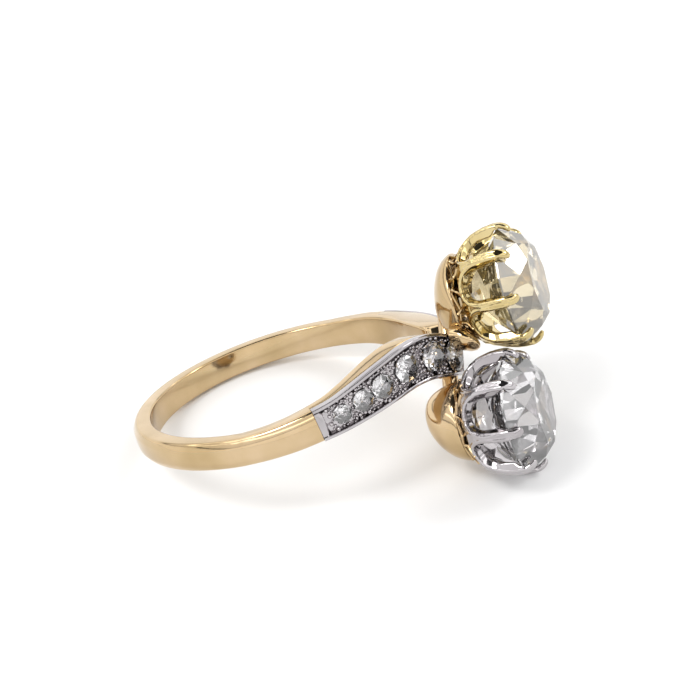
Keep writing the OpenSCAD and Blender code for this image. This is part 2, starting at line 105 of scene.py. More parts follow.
# The two shoulders, and places along them, counted in rows of their table
SHOULDERS = (("near", False), ("far", True))
STEP_PLACE = 3.1
PLATE_FROM = 3.125
NEAR_TO = 13.95
FAR_TO = 11
NEAR_ACCENTS = (4.25, 5.4, 6.5, 7.95, 10, 12.2)
FAR_ACCENTS = (4.2, 5.35, 6.5, 7.75, 9.25)

# Sizes that follow from the others
FINGER_R = FINGER_D / 2
HOOP_R = FINGER_R + HOOP_T
FLOW_R = 1.25 * FINGER_R
GIRDLE_H = FINGER_R + GIRDLE_OVER_HOLE
STONE_R = STONE_D / 2
SEAT_R = STONE_R + GAP + 0.01
BEARING_R = SEAT_R - BEARING_W
CLAW_OUT = STONE_R + CLAW_T
TIP_H = 0.44 * CROWN_H
FOOT_DEPTH = PAVILION_H + 0.25
FOOT_IN_R = FOOT_R - FOOT_WALL
HALF_LINE = CLAW_OUT + CROWN_GAP / 2
STONE_SIDE = HALF_LINE * math.sin(LINE_ANGLE)
STONE_ALONG = HALF_LINE * math.cos(LINE_ANGLE)
END_OUTER = GIRDLE_OVER_HOLE - WHITE_DROP - FOOT_DEPTH
END_INNER = END_OUTER - SHOULDER_T
WINDOW_R = CLAW_OUT * math.sin(math.pi / CLAWS) - CLAW_W / 2
WINDOW_DEPTH = WINDOW_LOW - WINDOW_R

# Resting pose: the ring stands on two points of the hoop's edge and on the lower claw cup
REST_ANGLE = math.radians(137.5)
EDGE_R = HOOP_R - HOOP_DOME - HOOP_EDGE
HEAD_RISE = math.atan(
    ((STONE_ALONG + 0.99 * CLAW_OUT - HOOP_W / 2) * math.cos(SIDE_ROLL)
     - (0.97 * STONE_SIDE + EDGE_R * math.sin(REST_ANGLE)) * math.sin(SIDE_ROLL))
    / (GIRDLE_H - WHITE_DROP - 0.215 * CLAW_OUT - EDGE_R * math.cos(REST_ANGLE))
)

# A shoulder from the hoop to the middle of the head: angle round the finger, share of the near one's swing,
# heading, shares of the widening, of the inner rise and of the outer rise, and the far one's swing and
# heading. Angles are in degrees.
PHI, SWING, HEADING, WIDEN, INNER, OUTER, FAR_SWING, FAR_HEADING = range(8)
FLOW = np.array([
    [-86, 0.01, 1, -0.04, 0, -0.01, 0, 0],
    [-76, 0.08, 3, 0.04, 0, 0.01, -0.03, 0],
    [-68, 0.16, 5, 0.13, 0, 0.04, -0.06, 0],
    [-60, 0.27, 7, 0.22, 0, 0.085, -0.06, 0],
    [-52, 0.39, 9, 0.36, 0, 0.15, -0.03, 1],
    [-45, 0.55, 11, 0.56, 0, 0.22, 0.01, 1],
    [-38, 0.72, 11, 0.76, 0.04, 0.305, 0.03, 0],
    [-31, 0.88, 8, 0.89, 0.11, 0.41, 0.03, 0],
    [-24, 1, 0, 0.98, 0.24, 0.525, 0.02, -1],
    [-18, 0.985, -11, 1, 0.4, 0.645, 0.01, -8],
    [-13, 0.845, -23, 0.97, 0.57, 0.765, 0.02, -24],
    [-8.5, 0.59, -32, 0.88, 0.76, 0.88, 0.04, -42],
    [-4.3, 0.32, -38, 0.78, 0.92, 0.965, 0.05, -44],
    [-0.5, 0.045, -43, 0.66, 1, 1, 0.05, -44],
    [3.3, -0.255, -48, 0.36, 1, 1, 0.05, -44],
])

# Gallery cup from its rim to its bottom: shares of depth, radius and of the bottom's slides
CUP = np.array([
    [0, 1, 0],
    [0.12, 1, 0.02],
    [0.3, 0.96, 0.1],
    [0.5, 0.88, 0.25],
    [0.7, 0.75, 0.5],
    [0.85, 0.6, 0.75],
    [0.95, 0.45, 0.9],
    [1, 0.32, 1],
])

# Outside and inside of a claw cup's wall: share of the foot's depth, and of the way out from the foot
CLAW_CUP_OUT = [(1, 0), (0.93, 0.17), (0.84, 0.46), (0.7, 0.7), (0.5, 0.88), (0.3, 0.97), (0.14, 1)]
CLAW_CUP_IN = [(0.225, 0.99), (0.4, 0.9), (0.55, 0.75), (0.68, 0.54), (0.81, 0.08)]

# Gold of the hoop and shoulders
SHOULDER_STEPS = 30
HOOP_STEPS = 120
HOOP_EASE = 8
BAND_EDGE = 1.35 * HOOP_EDGE
EDGE_LIFT = 0.055
INNER_EDGE = 0.14
INNER_SOFT = 0.08
DOME_STEPS = 12
DOME_SHARE = 0.72
DOME_POWER = 2.2
ARM_STEPS = 110
ARM_SUNK = 0.1
ARM_EDGE = 0.05

# Platinum trays: the rims' rounding, the groove along them, and the tray's depth towards its two ends
PLATE_STEPS = 120
RIM_EDGE = 0.08
LOW_EDGE = 0.04
TRAY_SHARE = 0.72
GROOVE = 0.2
TRAY_START = 0.5
TRAY_STOP = 0.4
PLATE_FIRST = ((0, 0.02), (0.16, 0.02), (0.25, 0.2), (0.33, 0.8), (0.4, 1))
PLATE_LAST = ((-0.3, 1), (-0.18, 0.02), (0, 0.02))
SEAT_PLAY = 0.02
SEAT_TOP = 0.9

# Small stones, and the grains round them
ACCENT_RISE = 0.1
ACCENT_GIRDLE = 0.05
ACCENT_DEPTH = 0.45
ACCENT_CULET = 0.1
ACCENT_FULLER = (1.06, 1.08, 1.08, 1.14, 1.14, 1.1)
ACCENT_SIDES = 8
ACCENT_TWIST = 0.3
NEAR_SEED = 3
FAR_SEED = 7
GRAIN_TRIES = 2500
GRAIN_SIZE = (0.07, 0.15)
GRAIN_SQUASH = (0.9, 1.5)
GRAIN_RISE = 0.04
GRAIN_CLEAR = 0.35
GRAIN_APART = 0.85

# Under the stones: gallery cups, the slanted wires on them, the bar between them and the solder on it. Each
# row of the solder has its height over the finger hole, its shift along the bar, and its half sizes along
# and across the bar.
CUP_SIDES = 96
CUP_STEPS = 40
WIRE_RISE = 0.62
WIRE_SHARES = (0, 0.35, 0.7, 1)
WIRE_RADII = (0.11, 0.1, 0.09, 0.1)
WIRE_OFF = 0.04
STRUT_BALL = 1.12
BRIDGE_R = 0.48
BRIDGE_SHARE = 0.73
SADDLE = (
    (2.9, 0.9, 0.7, 0.8),
    (3.4, 0.8, 0.72, 0.9),
    (3.9, 0.55, 0.6, 0.9),
    (4.2, 0.38, 0.42, 0.7),
    (4.4, 0.3, 0.25, 0.45),
    (4.47, 0.26, 0.1, 0.2),
)
SADDLE_SIDE = 0.9
SADDLE_SIDES = 32

# A claw's tip over the stone: distance inwards from the cup's outside, height, half width, half thickness.
# Then the windows' lips, and how fine the skin round a claw cup is.
CLAW_TIP = (
    (0.16, -0.6, 0.2, 0.13),
    (0.14, -0.2, 0.24, 0.15),
    (0.135, 0.1, 0.27, 0.17),
    (0.18, 0.31, 0.29, 0.185),
    (0.28, 0.48, 0.29, 0.185),
    (0.43, 0.63, 0.27, 0.165),
    (0.6, 0.74, 0.18, 0.11),
)
TIP_STEPS = 20
TIP_SIDES = 20
LIP_R = 0.12
LIP_OUT = 0.08
LIP_SUNK = 0.06
LIP_HEIGHTS = (0.3, 0.1, -0.3, -0.8)
LIP_LEAN = 0.25
CLAW_CUP_SIDES = 192
SKIN = 0.045
SKIN_ROUNDS = 5

# Looks. A metal has its middle, darker and lighter tone, its roughness and the scale of its wear. A stone
# has its tint, its deeper tint and its clearness.
METALS = {
    "rose_gold": ((0.555, 0.41, 0.235), (0.48, 0.35, 0.185), (0.64, 0.485, 0.31), 0.09, 260.0),
    "yellow_gold": ((0.58, 0.46, 0.22), (0.50, 0.39, 0.16), (0.68, 0.56, 0.31), 0.06, 260.0),
    "platinum": ((0.44, 0.415, 0.425), (0.36, 0.335, 0.345), (0.54, 0.515, 0.525), 0.07, 300.0),
}
STONES = {
    "white_diamond": ((0.83, 0.81, 0.82), (0.64, 0.62, 0.635), 0.97),
    "yellow_diamond": ((0.81, 0.70, 0.47), (0.70, 0.59, 0.36), 0.92),
}
DIAMOND_IOR = 2.42
SCRATCH_STRENGTH = 0.25
SCRATCH_M = 0.00001

# Studio: the floor's half side and its drop under the ring in metres, and the sky's brightness by height.
# The sky's bright and dark bands stand for soft boxes and the gaps between them, as polished metal shows.
FLOOR_M = 0.6
FLOOR_DROP_M = 0.00002
SKY_STRENGTH = 1.08
SKY = (
    (0, 1.25), (0.2, 1.25), (0.32, 1.2), (0.33, 0.05), (0.36, 0.05), (0.37, 1), (0.55, 1.1), (0.56, 2.8),
    (0.6, 2.8), (0.61, 1), (0.76, 1.05), (0.77, 2.2), (0.83, 2.2), (0.84, 0.05), (1, 0.03),
)

# Camera: its angles about the hoop, its distance from the middle of the finger hole in metres, and its lens
ELEVATION = math.radians(18.58)
ROLL = math.radians(17.923)
HOOP_TURN = math.radians(24)
DISTANCE_M = 0.084
SENSOR_MM = 36.0
LENS_MM = 69.7
SHIFT = (0.0948, 0.0532)


def spline_rows(table, place):
    """Row of a table at any place between two rows, on a smooth curve through the rows."""
    last = len(table) - 1
    i = min(last - 1, int(math.floor(place)))
    t = place - i
    a, b, c, d = (table[max(0, min(last, i + k))] for k in (-1, 0, 1, 2))
    bend = 2 * a - 5 * b + 4 * c - d
    twist = 3 * b - a - 3 * c + d
    return 0.5 * (2 * b + (c - a) * t + bend * t * t + twist * t ** 3)


def flow(u):
    """Row of the shoulder's table at a place along it."""
    return spline_rows(FLOW, u)


def half_w(u):
    """Half width of a shoulder."""
    return (HOOP_W + flow(u)[WIDEN] * (SHOULDER_W - HOOP_W)) / 2


def inside_h(u):
    """Height of a shoulder's inner face over the finger hole, rounded where it starts to rise."""
    rise = flow(u)[INNER] * (END_INNER + OVERCUT) - OVERCUT
    return 0.5 * (rise + math.sqrt(rise ** 2 + INNER_SOFT ** 2))


def dome_h(u):
    """Height of a shoulder's outside over the finger hole."""
    return HOOP_T + flow(u)[OUTER] * (END_OUTER - HOOP_T)


def plate_h(u):
    """Height of the platinum's outside over the finger hole."""
    return dome_h(u) - PLATE_FALL


def flow_to(far):
    """Place where a shoulder ends."""
    return FAR_TO if far else NEAR_TO


def accent_places(far):
    """Places of a shoulder's small stones."""
    return FAR_ACCENTS if far else NEAR_ACCENTS


def tray_span(far):
    """First and last place of the tray at its full depth."""
    return PLATE_FROM + TRAY_START, flow_to(far) - TRAY_STOP


def tray_half(half):
    """Half width of the tray between its rims."""
    return half - RIM_W * TRAY_SHARE


def cup_r(side):
    """Radius of a gallery cup. A side is -1 for the white stone and 1 for the yellow one."""
    return WHITE_CUP_R if side < 0 else YELLOW_CUP_R


def cup_h(side):
    """Depth of a gallery cup."""
    return WHITE_CUP_H if side < 0 else YELLOW_CUP_H


def flow_point(u, b, h, far):
    """Point of a shoulder at a place along it, b across it and h over the finger hole."""
    f = flow(u)
    heading = math.radians(f[FAR_HEADING] if far else f[HEADING])
    across = b / math.cos(heading) if far else b
    angle = math.radians(f[PHI]) - across * math.sin(heading) / FLOW_R
    along = f[FAR_SWING if far else SWING] * SHOULDER_SWING + across * math.cos(heading)
    return ((FINGER_R + h) * math.cos(angle), (FINGER_R + h) * math.sin(angle), along)


def at_shoulder(points, far):
    """The far shoulder starts from the hoop half a turn round the line to the head from the near one."""
    points = np.asarray(points, float)
    return points * (1, -1, -1) if far else points


def rotation(axis, angle):
    """Matrix of a turn about one of the axes."""
    return np.array(Matrix.Rotation(angle, 3, axis))


RESTING = rotation("Y", -HEAD_RISE) @ rotation("X", -SIDE_ROLL)


def stone_frame(side):
    """Turn and place of a main stone: its axis along Z, its girdle at 0."""
    turn = rotation("X", -LINE_ANGLE) @ rotation("Y", -side * STONE_TILT) @ rotation("Y", math.pi / 2)
    height = GIRDLE_H - (WHITE_DROP if side < 0 else 0)
    return rotation("Y", -STONE_LEAN) @ turn, np.array([height, side * STONE_SIDE, side * STONE_ALONG])


def at_stone(points, side):
    """Points from a main stone's frame to the hoop's frame."""
    turn, place = stone_frame(side)
    return np.asarray(points, float) @ turn.T + place


def new_mesh(name, points, faces):
    """Mesh from points and faces of any kind of list."""
    mesh = bpy.data.meshes.new(name)
    mesh.from_pydata(np.asarray(points).tolist(), [], [list(f) for f in faces])
    mesh.update()
    return mesh


def add_object(name, data):
    """Object of any kind in the scene."""
    obj = bpy.data.objects.new(name, data)
    bpy.context.scene.collection.objects.link(obj)
    return obj


def outward(points, faces):
    """The same faces, all turned to look outwards."""
    mesh = new_mesh("turning", points, faces)
    bm = bmesh.new()
    bm.from_mesh(mesh)
    bmesh.ops.recalc_face_normals(bm, faces=bm.faces[:])
    turned = [[v.index for v in f.verts] for f in bm.faces]
    bm.free()
    bpy.data.meshes.remove(mesh)
    return points, turned


def make_object(name, points, faces, material, smooth_angle=None):
    """Piece of the ring from points in the hoop's frame. It is smooth up to an angle in degrees, or flat."""
    points, faces = outward(points, faces)
    mesh = new_mesh(name, np.asarray(points, float) @ RESTING.T * 0.001, faces)
    mesh.materials.append(material)
    if smooth_angle is not None:
        mesh.shade_smooth()
        mesh.set_sharp_from_angle(angle=math.radians(smooth_angle))
    return add_object(name, mesh)


def sweep(rings, closed=False):
    """Body through rings that all run the same way round, with its two ends capped unless it is closed."""
    points = np.concatenate([np.asarray(r, float) for r in rings])
    count, sides = len(rings), len(rings[0])
    faces = []
    for k in range(count if closed else count - 1):
        a = k * sides
        b = (k + 1) % count * sides
        for j in range(sides):
            i = (j + 1) % sides
            faces.append((a + j, a + i, b + i, b + j))
    if not closed:
        faces.append(list(reversed(range(sides))))
        faces.append([(count - 1) * sides + j for j in range(sides)])
    return points, faces


def join_meshes(parts):
    """One list of points and faces from several."""
    points, faces, offset = [], [], 0
    for p, f in parts:
        points.append(np.asarray(p, float))
        faces.extend([[i + offset for i in face] for face in f])
        offset += len(p)
    return np.concatenate(points), faces


def circle(r, sides):
    """Points (x, y) round a circle."""
    angles = [2 * math.pi * j / sides for j in range(sides)]
    return [(r * math.cos(a), r * math.sin(a)) for a in angles]


def turned(profile, sides):
    """Solid of revolution about Z from an outline of (radius, height)."""
    rings = []
    for k in range(sides):
        a = 2 * math.pi * k / sides
        rings.append([(r * math.cos(a), r * math.sin(a), z) for r, z in profile])
    return sweep(rings, closed=True)


def turn_about_axis(points, turn_by):
    """Points turned about Z."""
    c, s = math.cos(turn_by), math.sin(turn_by)
    x, y, z = np.asarray(points, float).T
    return np.column_stack([x * c - y * s, x * s + y * c, z])


def arc(x, y, r, start, end, steps):
    """Points on an arc from one angle in degrees to another."""
    angles = [math.radians(start + (end - start) * k / steps) for k in range(steps + 1)]
    return [(x + r * math.cos(a), y + r * math.sin(a)) for a in angles]


def ball(centre, radius, squash=1.0, frame_of=None, rows=8, sides=14):
    """Ball, or with a squash a grain that stands along the Z of another frame."""
    points = []
    for i in range(rows + 1):
        t = math.pi * i / rows
        for j in range(sides):
            a = 2 * math.pi * j / sides
            points.append((radius * math.sin(t) * math.cos(a), radius * math.sin(t) * math.sin(a),
                           radius * squash * math.cos(t)))
    points = np.array(points)
    if frame_of is not None:
        points = points @ frame_of.T
    faces = []
    for i in range(rows):
        for j in range(sides):
            k = (j + 1) % sides
            a, b, c, d = i * sides + j, i * sides + k, (i + 1) * sides + k, (i + 1) * sides + j
            if i == 0:
                faces.append((a, d, c))
            elif i == rows - 1:
                faces.append((a, d, b))
            else:
                faces.append((a, d, c, b))
    return points + np.asarray(centre, float), faces


def tube(path, radii, sides):
    """Round wire along a path, with one radius for each point of it."""
    path = np.asarray(path, float)
    last = len(path) - 1
    angles = [2 * math.pi * j / sides for j in range(sides)]
    rings = []
    normal = None
    for k, (point, r) in enumerate(zip(path, radii)):
        t = path[min(k + 1, last)] - path[max(k - 1, 0)]
        t = t / np.linalg.norm(t)
        if normal is None:
            normal = np.cross(t, (0, 0, 1))
        normal = normal - t * np.dot(normal, t)
        normal = normal / np.linalg.norm(normal)
        other = np.cross(t, normal)
        rings.append([point + r * (math.cos(a) * normal + math.sin(a) * other) for a in angles])
    return sweep(rings)


def applied(obj, helpers=()):
    """Points and faces of an object with its modifiers applied; it and its helpers are taken out again."""
    graph = bpy.context.evaluated_depsgraph_get()
    done = obj.evaluated_get(graph).to_mesh()
    points = np.zeros(len(done.vertices) * 3)
    done.vertices.foreach_get("co", points)
    faces = [tuple(p.vertices) for p in done.polygons]
    obj.evaluated_get(graph).to_mesh_clear()
    for o in (obj, *helpers):
        mesh = o.data
        bpy.data.objects.remove(o)
        bpy.data.meshes.remove(mesh)
    return points.reshape(-1, 3), faces


def scratch(solid):
    """Object that modifiers work on for a moment."""
    return add_object("scratch", new_mesh("scratch", *outward(*solid)))


def cut_from(solid, cuts):
    """A solid less its cuts."""
    obj = scratch(solid)
    cutters = []
    for cut in cuts:
        cutters.append(scratch(cut))
        mod = obj.modifiers.new("cut", "BOOLEAN")
        mod.operation = "DIFFERENCE"
        mod.solver = "EXACT"
        mod.object = cutters[-1]
    return applied(obj, cutters)


def skin_round(parts):
    """One skin round parts that meet, with its edges rounded."""
    obj = scratch(join_meshes(parts))
    skin = obj.modifiers.new("skin", "REMESH")
    skin.mode = "VOXEL"
    skin.voxel_size = SKIN
    rounding = obj.modifiers.new("rounding", "SMOOTH")
    rounding.factor = 0.5
    rounding.iterations = SKIN_ROUNDS
    return applied(obj)


def gold_outline(half, low, high):
    """Section of the gold, flat inside and low-domed outside."""
    i, e = INNER_EDGE, BAND_EDGE
    top = high - HOOP_DOME - e + EDGE_LIFT
    dome = []
    for k in range(1, DOME_STEPS):
        x = (half - e) * (1 - 2 * k / DOME_STEPS)
        dome.append((x, high - HOOP_DOME * (abs(x) / half) ** DOME_POWER * DOME_SHARE))
    return (arc(half - i, low + i, i, -90, 0, 5) + arc(half - e, top, e, 0, 72, 7) + dome
            + arc(-half + e, top, e, 108, 180, 7) + arc(-half + i, low + i, i, 180, 270, 5))


def shoulder_ring(u, far):
    """Section of a shoulder's gold before the platinum, run the same way round on both sides."""
    outline = gold_outline(half_w(u), inside_h(u), dome_h(u))
    return at_shoulder([flow_point(u, -b if far else b, h, far) for b, h in outline], far)


def hoop_ring(t):
    """Section of the plain hoop at a share of the way round, eased into the shoulders at both ends."""
    start, end = math.radians(FLOW[0][PHI]), math.radians(-360 - FLOW[0][PHI])
    angle = start + (end - start) * t
    ease = min(1, min(t, 1 - t) * HOOP_EASE)
    half = half_w(0) + (HOOP_W / 2 - half_w(0)) * ease
    high = dome_h(0) + (HOOP_T - dome_h(0)) * ease
    c, s = math.cos(angle), math.sin(angle)
    return [((FINGER_R + h) * c, (FINGER_R + h) * s, b) for b, h in gold_outline(half, 0, high)]


def build_band(material):
    """Gold hoop with both shoulders as far as the platinum: one sweep from one step to the other."""
    shares = [k / SHOULDER_STEPS for k in range(SHOULDER_STEPS + 1)]
    rings = [shoulder_ring(STEP_PLACE * (1 - share), False) for share in shares]
    rings += [hoop_ring(k / HOOP_STEPS) for k in range(1, HOOP_STEPS)]
    rings += [shoulder_ring(STEP_PLACE * share, True) for share in shares]
    return make_object("hoop_gold", *sweep(rings), material, 35)


def arm_outline(half, low, seat, lip):
    """Section of the gold under the platinum: a seat, and a lip that rises beside the platinum."""
    i, e = INNER_EDGE, ARM_EDGE
    beside = [(half * 0.3, seat), (-half + RIM_W, seat), (-half + 0.04, lip - 0.01),
              (-half + 0.012, lip - 0.005), (-half, lip - 0.03)]
    return (arc(half - i, low + i, i, -90, 0, 5) + arc(half - e, seat - e, e, 0, 90, 3) + beside
            + arc(-half + i, low + i, i, 180, 270, 5))


def build_arm(name, far, material):
    """Gold under the platinum of one shoulder. It starts sunk in the hoop's gold."""
    length = flow_to(far) - STEP_PLACE
    places = [(STEP_PLACE - 0.3, ARM_SUNK), (STEP_PLACE - 0.004, ARM_SUNK)]
    places += [(STEP_PLACE + length * k / ARM_STEPS, 0) for k in range(ARM_STEPS + 1)]
    rings = []
    for u, sunk in places:
        seat = plate_h(u) - PLATE_T - SEAT_GAP - sunk
        lip = plate_h(u) - PLATE_LIP - GAP - sunk
        outline = arm_outline(half_w(u) - sunk, inside_h(u) + sunk, seat, lip)
        rings.append([flow_point(u, b, h, far) for b, h in outline])
    points, faces = sweep(rings)
    return make_object(name, at_shoulder(points, far), faces, material, 35)


def tray_outline(half, high, sunk):
    """Section of the platinum: a tray with two round rims, cut down by the share sunk to its floor."""
    low = high - PLATE_T
    e, f = RIM_EDGE, RIM_EDGE * 0.8
    inner = tray_half(half)
    floor_h = high - RIM_H * sunk
    groove = floor_h - GROOVE * sunk
    rim = arc(half - e, high - e, e, 0, 90, 6) + arc(inner + f, high - f, f, 90, 170, 5)
    rim += [(inner - 0.01, groove + 0.03), (inner - 0.05, groove), (inner - 0.11, groove + 0.01),
            (inner - 0.2, floor_h), (inner * 0.35, floor_h + 0.01)]
    right = arc(half - LOW_EDGE, low + LOW_EDGE, LOW_EDGE, -90, 0, 3) + rim
    left = [(-x, y) for x, y in reversed(rim)] + [(-half, high - PLATE_LIP), (-half + RIM_W, low)]
    return right + left


def plate_places(far):
    """Places along a plate, each with the share of the tray's depth there."""
    start, end = tray_span(far)
    places = [(PLATE_FROM + u, sunk) for u, sunk in PLATE_FIRST]
    places += [(start + (end - start) * k / PLATE_STEPS, 1) for k in range(PLATE_STEPS + 1)]
    return places + [(flow_to(far) + u, sunk) for u, sunk in PLATE_LAST]


def accent_r(k):
    """Radius of a small stone as seen: it fills the tray a little more than its plain solid."""
    plain_d = ACCENT_FIRST_D + (ACCENT_LAST_D - ACCENT_FIRST_D) * k / (len(NEAR_ACCENTS) - 1)
    return plain_d / 2 * ACCENT_FULLER[k]


def accent_frame(k, far):
    """Turn and place of a small stone on the floor of the tray."""
    u = accent_places(far)[k]

    def on_floor(v, b):
        """Point on the tray's floor."""
        return np.array(flow_point(v, b, plate_h(v) - RIM_H, far))

    along = on_floor(u + 0.1, 0) - on_floor(u - 0.1, 0)
    up = np.cross(along, on_floor(u, 0.3) - on_floor(u, -0.3))
    x = along / np.linalg.norm(along)
    z = up / np.linalg.norm(up)
    y = np.cross(z, x)
    return np.array([x, y, z]).T, on_floor(u, 0)


def small_stone(name, k, far, material):
    """One small stone with two rows of crown facets that stand between each other."""
    turn, place = accent_frame(k, far)
    r = accent_r(k)
    # Each level from the culet to the table has its radius, height and turn in facets
    levels = [(ACCENT_CULET * r, ACCENT_RISE - ACCENT_DEPTH * r, 0), (r, ACCENT_RISE, 0),
              (r, ACCENT_RISE + ACCENT_GIRDLE, 0), (0.8 * r, ACCENT_RISE + 0.26 * r, 0.5),
              (0.46 * r, ACCENT_RISE + 0.42 * r, 0)]
    n = ACCENT_SIDES
    last = len(levels) - 1
    points = []
    for q, z, half in levels:
        for j in range(n):
            a = 2 * math.pi * (j + half + ACCENT_TWIST * k) / n
            points.append((q * math.cos(a), q * math.sin(a), z))
    faces = [list(range(n)), [last * n + j for j in range(n)]]
    for i in range(last):
        back_turn = levels[i + 1][2] < levels[i][2]
        for j in range(n):
            a, b = n * i + j, n * i + (j + 1) % n
            c, d = b + n, a + n
            faces += [(a, b, c), (a, c, d)] if back_turn else [(a, b, d), (b, c, d)]
    return make_object(name, at_shoulder(np.array(points) @ turn.T + place, far), faces, material)


def accent_seat(k, far):
    """Room of one small stone in the tray."""
    turn, place = accent_frame(k, far)
    r = accent_r(k) + SEAT_PLAY
    low = ACCENT_RISE - ACCENT_DEPTH * (r - SEAT_PLAY) - SEAT_PLAY
    profile = [(0.001, low), (ACCENT_CULET * r + SEAT_PLAY, low), (r, ACCENT_RISE - SEAT_PLAY),
               (r + SEAT_PLAY, SEAT_TOP), (0.001, SEAT_TOP)]
    points, faces = turned(profile, 40)
    return points @ turn.T + place, faces


def tray_grains(far):
    """Small uneven grains that fill the floor of the tray round the stones."""
    rng = np.random.default_rng(FAR_SEED if far else NEAR_SEED)
    middles = [accent_frame(k, far)[1] for k in range(len(accent_places(far)))]
    upright = accent_frame(0, far)[0]
    grains = []
    kept = []
    for _ in range(GRAIN_TRIES):
        u = rng.uniform(*tray_span(far))
        inner = tray_half(half_w(u)) - 0.05
        b = rng.uniform(-inner, inner)
        size = rng.uniform(*GRAIN_SIZE)
        place = np.array(flow_point(u, b, plate_h(u) - RIM_H + GRAIN_RISE, far))
        clear = all(np.linalg.norm(place - middle) > accent_r(k) + GRAIN_CLEAR * size
                    for k, middle in enumerate(middles))
        if clear and all(np.linalg.norm(place - q) > GRAIN_APART * (size + w) for q, w in kept):
            kept.append((place, size))
            grains.append(ball(place, size, rng.uniform(*GRAIN_SQUASH), upright, 6, 10))
    return grains


def build_plate(name, far, material):
    """Platinum tray of one shoulder, with the stones' seats cut in it and its grains."""
    rings = []
    for u, sunk in plate_places(far):
        rings.append([flow_point(u, b, h, far) for b, h in tray_outline(half_w(u), plate_h(u), sunk)])
    tray = cut_from(sweep(rings), [accent_seat(k, far) for k in range(len(accent_places(far)))])
    points, faces = join_meshes([tray] + tray_grains(far))
    return make_object(name, at_shoulder(points, far), faces, material, 40)


def cup_ring(side, depth, r, slide):
    """Ring of a gallery cup; its share of the slides moves it outwards and back."""
    out, back = slide * CUP_OUTWARD, slide * CUP_BACK
    x = -side * (out * math.sin(LINE_ANGLE) - back * math.cos(LINE_ANGLE))
    y = side * (out * math.cos(LINE_ANGLE) + back * math.sin(LINE_ANGLE))
    return [(x + cx, y - cy, -depth) for cx, cy in circle(r, CUP_SIDES)]


def build_gallery(name, side, material):
    """One gallery cup: a bowl with a rolled rim and an open bottom."""
    rim, deep = cup_r(side), cup_h(side)
    bottom = FOOT_DEPTH + deep
    inner = rim - CUP_WALL
    curve = [spline_rows(CUP, (len(CUP) - 1) * k / CUP_STEPS) for k in range(3, CUP_STEPS + 1)]
    # Rings with their depth, radius and slide: down the outside, round the hole, up the inside, over the rim
    top = FOOT_DEPTH
    rings = [(top + 0.07, rim, 0)]
    rings += [(top + d * deep, r * rim, slide) for d, r, slide in curve]
    rings += [(bottom, CUP_HOLE_R + 0.12, 1), (bottom - 0.04, CUP_HOLE_R + 0.03, 1),
              (bottom - 0.12, CUP_HOLE_R, 1)]
    rings += [(top + d * deep - CUP_WALL / 4, r * rim - CUP_WALL, slide) for d, r, slide in curve[-9::-1]]
    rings += [(top + 0.09, inner, 0), (top + 0.03, inner + 0.03, 0), (top, inner + 0.1, 0),
              (top, rim - 0.1, 0), (top + 0.02, rim - 0.03, 0)]
    points, faces = sweep([cup_ring(side, d, r, slide) for d, r, slide in rings], closed=True)
    return make_object(name, at_stone(points, side), faces, material, 40)


def build_struts(name, side, material):
    """Zigzag of wires on a cup's rim with solder at each corner, and slanted wires up the claw cup."""
    count = 2 * CLAWS
    low = (cup_r(side) - CUP_WALL / 2, -FOOT_DEPTH - 0.3 * STRUT_R)
    high = (1.4 * FOOT_R, -FOOT_DEPTH + 2.1 * STRUT_R)
    corners = []
    for k in range(count):
        r, z = high if k % 2 == 0 else low
        a = CLAW_TURN + 2 * math.pi * k / count
        corners.append((r * math.cos(a), r * math.sin(a), z))
    parts = []
    for k in range(count):
        parts.append(tube([corners[k], corners[(k + 1) % count]], (STRUT_R, STRUT_R), 10))
        parts.append(ball(corners[k], STRUT_R * STRUT_BALL))
    rim = cup_r(side) - 0.1
    for k in range(count):
        lean = 1 if k % 2 else -1
        path = []
        for share in WIRE_SHARES:
            z = -FOOT_DEPTH + 0.02 + WIRE_RISE * share
            cup = claw_out_r(z)
            r = max(rim + (cup + 0.05 - rim) * share, cup + WIRE_OFF)
            a = CLAW_TURN + math.pi * (2 * k + lean * (share - 0.5)) / count
            path.append((r * math.cos(a), r * math.sin(a), z))
        parts.append(tube(path, WIRE_RADII, 10))
    points, faces = join_meshes(parts)
    return make_object(name, at_stone(points, side), faces, material, 60)


def build_bridge(material):
    """Bar that joins the two gallery cups."""
    reach = HALF_LINE - WHITE_CUP_R / 2
    direction = rotation("X", -LINE_ANGLE) @ np.array([0, 0, 1.0])
    centre = np.array([FINGER_R + BRIDGE_SHARE * END_OUTER, 0, 0])
    points, faces = tube([centre - direction * reach, centre + direction * reach], (BRIDGE_R, BRIDGE_R), 40)
    return make_object("gallery_bridge", points, faces, material, 60)


def build_saddle(material):
    """Rounded mass of solder between the two claw cups, on the bar that joins the gallery cups."""
    rings = []
    for h, shift, thick, wide in SADDLE:
        outline = circle(1, SADDLE_SIDES)
        ring = [(FINGER_R + h, wide * x - SADDLE_SIDE, thick * y + shift) for x, y in outline]
        rings.append(np.array(ring) @ rotation("X", -LINE_ANGLE).T)
    return make_object("gallery_saddle", *sweep(rings), material, 60)


def wall_points(table, foot_r, top_r):
    """Points (radius, height) of one side of a claw cup's wall."""
    return [(foot_r + out * (top_r - foot_r), -depth * FOOT_DEPTH) for depth, out in table]


CUP_OUTSIDE = wall_points(CLAW_CUP_OUT, FOOT_R, CLAW_OUT)
CUP_INSIDE = wall_points(CLAW_CUP_IN, FOOT_IN_R, BEARING_R)


def radius_at(wall, z):
    """Radius of a wall at a height."""
    table = sorted((height, r) for r, height in wall)
    return float(np.interp(z, [t[0] for t in table], [t[1] for t in table]))


def claw_out_r(z):
    """Outer radius of a claw cup at a height below the girdle."""
    return radius_at(CUP_OUTSIDE + [(CLAW_OUT, 0.0)], z)


def claw_in_r(z):
    """Inner radius of a claw cup's wall at a height below the girdle."""
    return radius_at(CUP_INSIDE, z)


